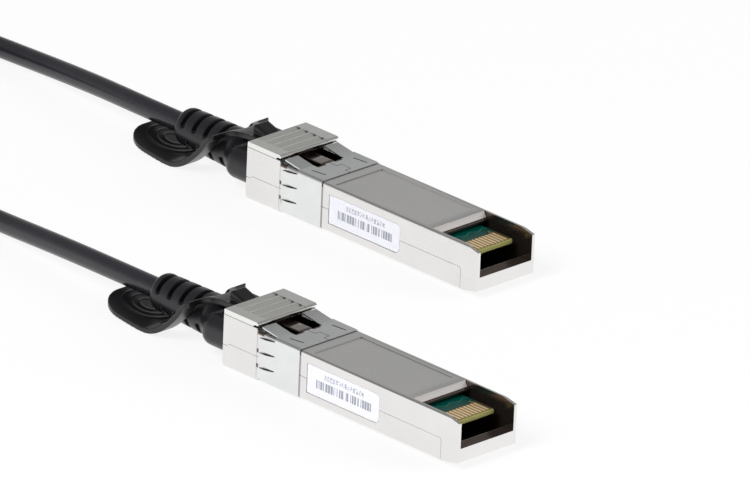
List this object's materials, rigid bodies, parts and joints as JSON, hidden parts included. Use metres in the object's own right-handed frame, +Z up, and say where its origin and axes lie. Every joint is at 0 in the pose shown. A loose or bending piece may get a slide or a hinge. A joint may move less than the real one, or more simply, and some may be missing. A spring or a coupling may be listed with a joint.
{
  "type": "direct attach copper cable",
  "caption": "Two pluggable metal-cased ends with pull-tab latches, joined by one thin black twinax copper cable, its spare length coiled and tied.",
  "frame": {"origin": "on the surface that the plugs lie on, below the middle of the two plugs taken together", "axes": "+X from the cable end towards the plugs' noses, +Y from the labelled side of each plug to the other side, +Z up, on the latch side"},
  "size_m": [0.2277, 0.0676, 0.011],
  "materials": {
    "plated_casting": "nickel-plated zinc casting, satin",
    "collar_steel": "bright nickel-plated spring sheet",
    "cover_metal": "plated steel, fine satin",
    "latch_steel": "plated steel",
    "spring_steel": "drawn spring wire",
    "tab_rubber": "soft black moulding, satin",
    "boot_rubber": "soft black moulding, matt",
    "cable_jacket": "black cable jacket, satin",
    "ferrule_brass": "tinned brass ring",
    "wire_insulation": "foil-wrapped wire insulation",
    "board_green": "green solder mask on glass-fibre board",
    "contact_gold": "gold plating",
    "chip_black": "moulded chip case",
    "capacitor_tan": "ceramic",
    "label_white": "coated label film",
    "tie_black": "woven hook-and-loop tie"
  },
  "bodies": {
    "cable_and_plugs": {"base_shell_a": "plated_casting", "cover_shell_a": "plated_casting", "emi_collar_a": "collar_steel", "latch_cover_a": "cover_metal", "rocker_pin_a": "latch_steel", "return_spring_a": "spring_steel", "strain_relief_a": "boot_rubber", "cable_lead_a": "cable_jacket", "shield_ferrule_a": "ferrule_brass", "wire_pairs_a": "wire_insulation", "circuit_board_a": "board_green", "gold_contacts_a": "contact_gold", "memory_chip_a": "chip_black", "capacitors_a": "capacitor_tan", "side_label_a": "label_white", "base_shell_b": "plated_casting", "cover_shell_b": "plated_casting", "emi_collar_b": "collar_steel", "latch_cover_b": "cover_metal", "rocker_pin_b": "latch_steel", "return_spring_b": "spring_steel", "strain_relief_b": "boot_rubber", "cable_lead_b": "cable_jacket", "shield_ferrule_b": "ferrule_brass", "wire_pairs_b": "wire_insulation", "circuit_board_b": "board_green", "gold_contacts_b": "contact_gold", "memory_chip_b": "chip_black", "capacitors_b": "capacitor_tan", "side_label_b": "label_white", "cable_run_a": "cable_jacket", "cable_run_b": "cable_jacket", "cable_coil": "cable_jacket", "coil_tie": "tie_black"},
    "pull_a": {"pull_tab_a": "tab_rubber", "pull_slider_a": "latch_steel"},
    "latch_a": {"latch_rocker_a": "latch_steel"},
    "pull_b": {"pull_tab_b": "tab_rubber", "pull_slider_b": "latch_steel"},
    "latch_b": {"latch_rocker_b": "latch_steel"}
  },
  "joints": [
    {"name": "tab_pull_a", "type": "slide", "parent": "cable_and_plugs", "child": "pull_a", "axis": [-1, 0, 0], "range_m": [0, 0.0025], "stiffness_N_per_m": 1500, "deforming": ["return_spring_a"]},
    {"name": "latch_rock_a", "type": "hinge", "parent": "cable_and_plugs", "child": "latch_a", "pos_m": [-0.0309, 0.0266, 0.0088], "axis": [0, 1, 0], "range_deg": [0, 6.9]},
    {"name": "tab_pull_b", "type": "slide", "parent": "cable_and_plugs", "child": "pull_b", "axis": [-1, 0, 0], "range_m": [0, 0.0025], "stiffness_N_per_m": 1500, "deforming": ["return_spring_b"]},
    {"name": "latch_rock_b", "type": "hinge", "parent": "cable_and_plugs", "child": "latch_b", "pos_m": [0.0189, -0.0266, 0.0088], "axis": [0, 1, 0], "range_deg": [0, 6.9]}
  ],
  "couplings": [
    {"joint": "latch_rock_a", "follows": "tab_pull_a", "rad_per_m": 48},
    {"joint": "latch_rock_b", "follows": "tab_pull_b", "rad_per_m": 48}
  ]
}
